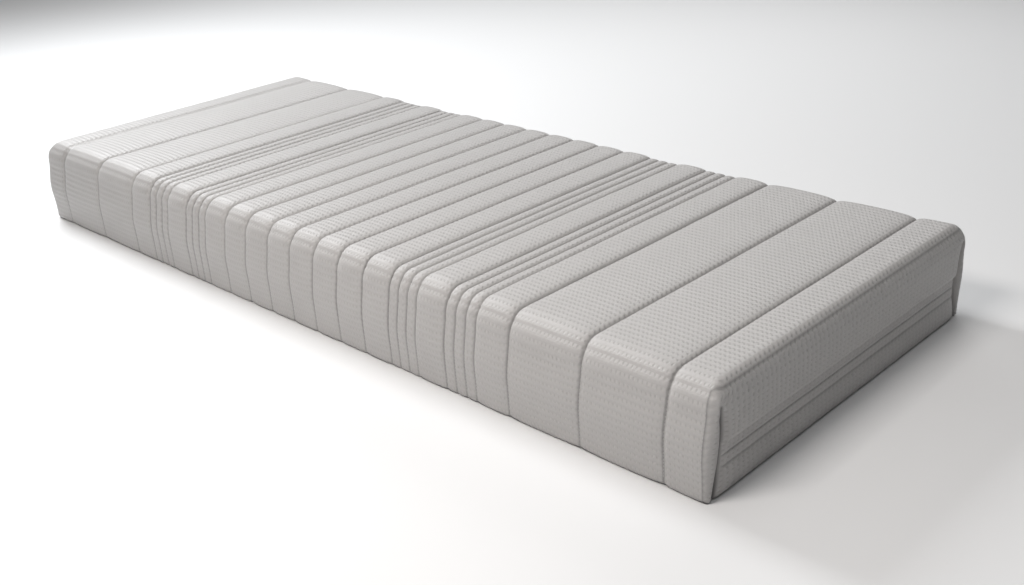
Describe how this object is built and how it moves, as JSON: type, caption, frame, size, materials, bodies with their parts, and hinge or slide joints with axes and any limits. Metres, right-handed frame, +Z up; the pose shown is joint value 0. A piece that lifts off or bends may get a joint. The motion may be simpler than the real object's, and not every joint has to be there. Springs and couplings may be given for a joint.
{
  "type": "memory foam mattress",
  "caption": "Single memory foam mattress with a quilted white knitted cover, foam layers inside and a zip low on the hidden long side and head end.",
  "frame": {"origin": "centre of the underside", "axes": "+X along the length towards the foot end, +Y across the width towards the long side with the zip, +Z up"},
  "size_m": [2, 0.8, 0.195],
  "materials": {
    "cold_foam": "matt open-cell cold foam",
    "memory_foam": "matt fine-cell memory foam",
    "stockinette": "matt thin knitted tube",
    "cover_knit": "matt off-white double knit with small dimples in rows",
    "wadding": "matt fibre wadding",
    "backing_cloth": "matt bonded backing cloth",
    "thread": "slightly shiny polyester thread",
    "binding_tape": "matt woven tape",
    "base_fabric": "matt plain knit",
    "zip_tape": "matt woven zip tape",
    "zip_coil": "satin nylon coil",
    "zip_metal": "satin zinc alloy",
    "label_satin": "satin blank label"
  },
  "bodies": {
    "mattress": {"support_core": "cold_foam", "memory_foam": "memory_foam", "inner_sleeve": "stockinette", "cover_knit": "cover_knit", "cover_wadding": "wadding", "cover_backing": "backing_cloth", "quilt_thread": "thread", "corner_tape_foot_front": "binding_tape", "corner_tape_foot_back": "binding_tape", "corner_tape_head_front": "binding_tape", "corner_tape_head_back": "binding_tape", "hem_tape": "binding_tape", "base_fabric": "base_fabric", "base_fleece": "wadding", "zip_border": "cover_knit", "zip_tape_upper": "zip_tape", "zip_tape_lower": "zip_tape", "zip_coil_upper": "zip_coil", "zip_coil_lower": "zip_coil", "zip_end_stop": "zip_metal", "zip_start_stop": "zip_metal", "care_label": "label_satin"},
    "slider": {"zip_slider": "zip_metal"},
    "pull": {"zip_pull": "zip_metal"}
  },
  "joints": [
    {"name": "slider_run", "type": "slide", "parent": "mattress", "child": "slider", "axis": [-1, 0, 0], "range_m": [0, 1.84]},
    {"name": "pull_turn", "type": "hinge", "parent": "slider", "child": "pull", "pos_m": [0.922, 0.3975, 0.027], "axis": [0, 0, -1], "range_deg": [0, 170]}
  ]
}
